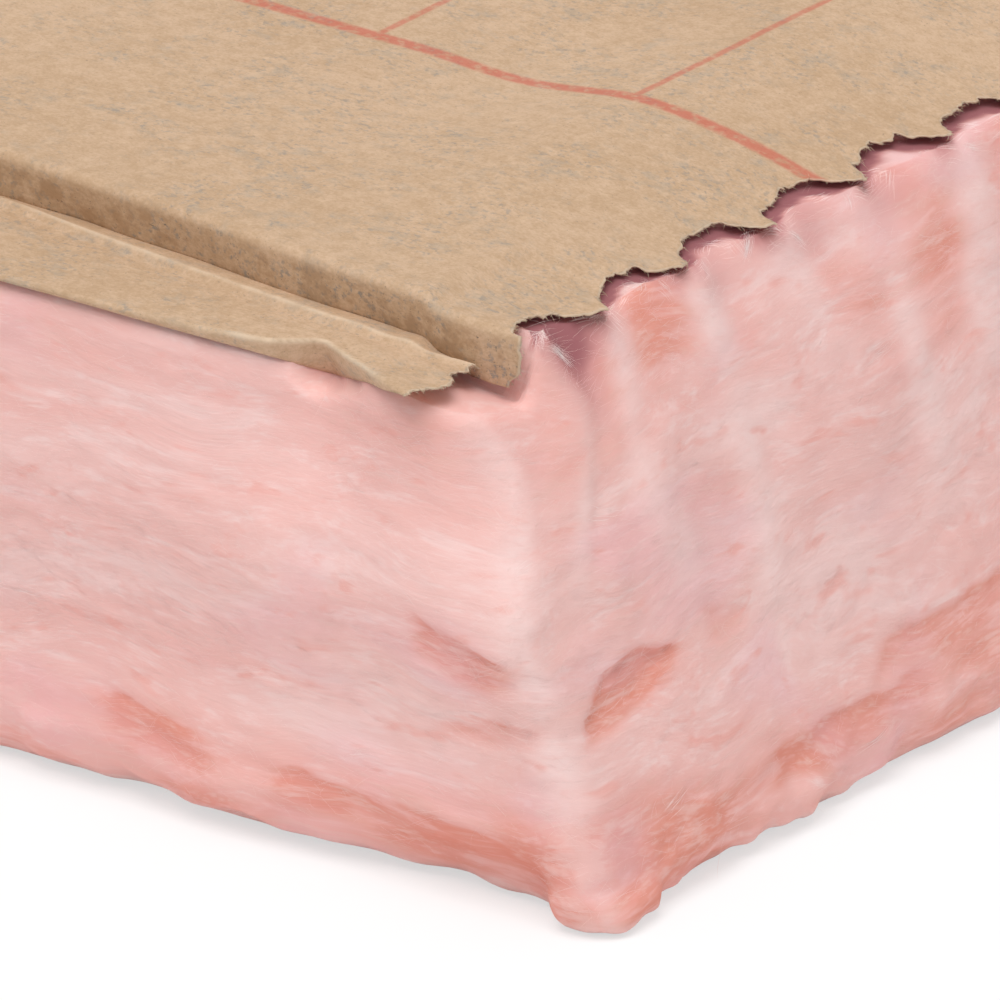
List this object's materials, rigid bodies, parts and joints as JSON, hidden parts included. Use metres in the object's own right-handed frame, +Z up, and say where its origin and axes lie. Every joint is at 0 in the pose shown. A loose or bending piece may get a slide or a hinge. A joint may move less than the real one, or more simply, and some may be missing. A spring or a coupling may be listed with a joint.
{
  "type": "kraft-faced fiberglass insulation batt",
  "caption": "Long flat batt of soft pink glass wool with a brown kraft paper facing, pleated into stapling tabs along its sides and torn in teeth at its cut ends.",
  "frame": {"origin": "centre of the batt's length and width, on the resting face under the wool", "axes": "+X along the batt's length, +Y across its width, +Z up, out of the kraft facing"},
  "size_m": [2.3836, 0.381, 0.089],
  "materials": {
    "glass_wool": "soft matted glass fibre, pale pink with salmon layers",
    "kraft_paper": "matt brown kraft paper with grey fibre flecks and thin red ruled lines"
  },
  "bodies": {
    "root": {"glass_wool_batt": "glass_wool", "kraft_facing": "kraft_paper"}
  },
  "joints": []
}
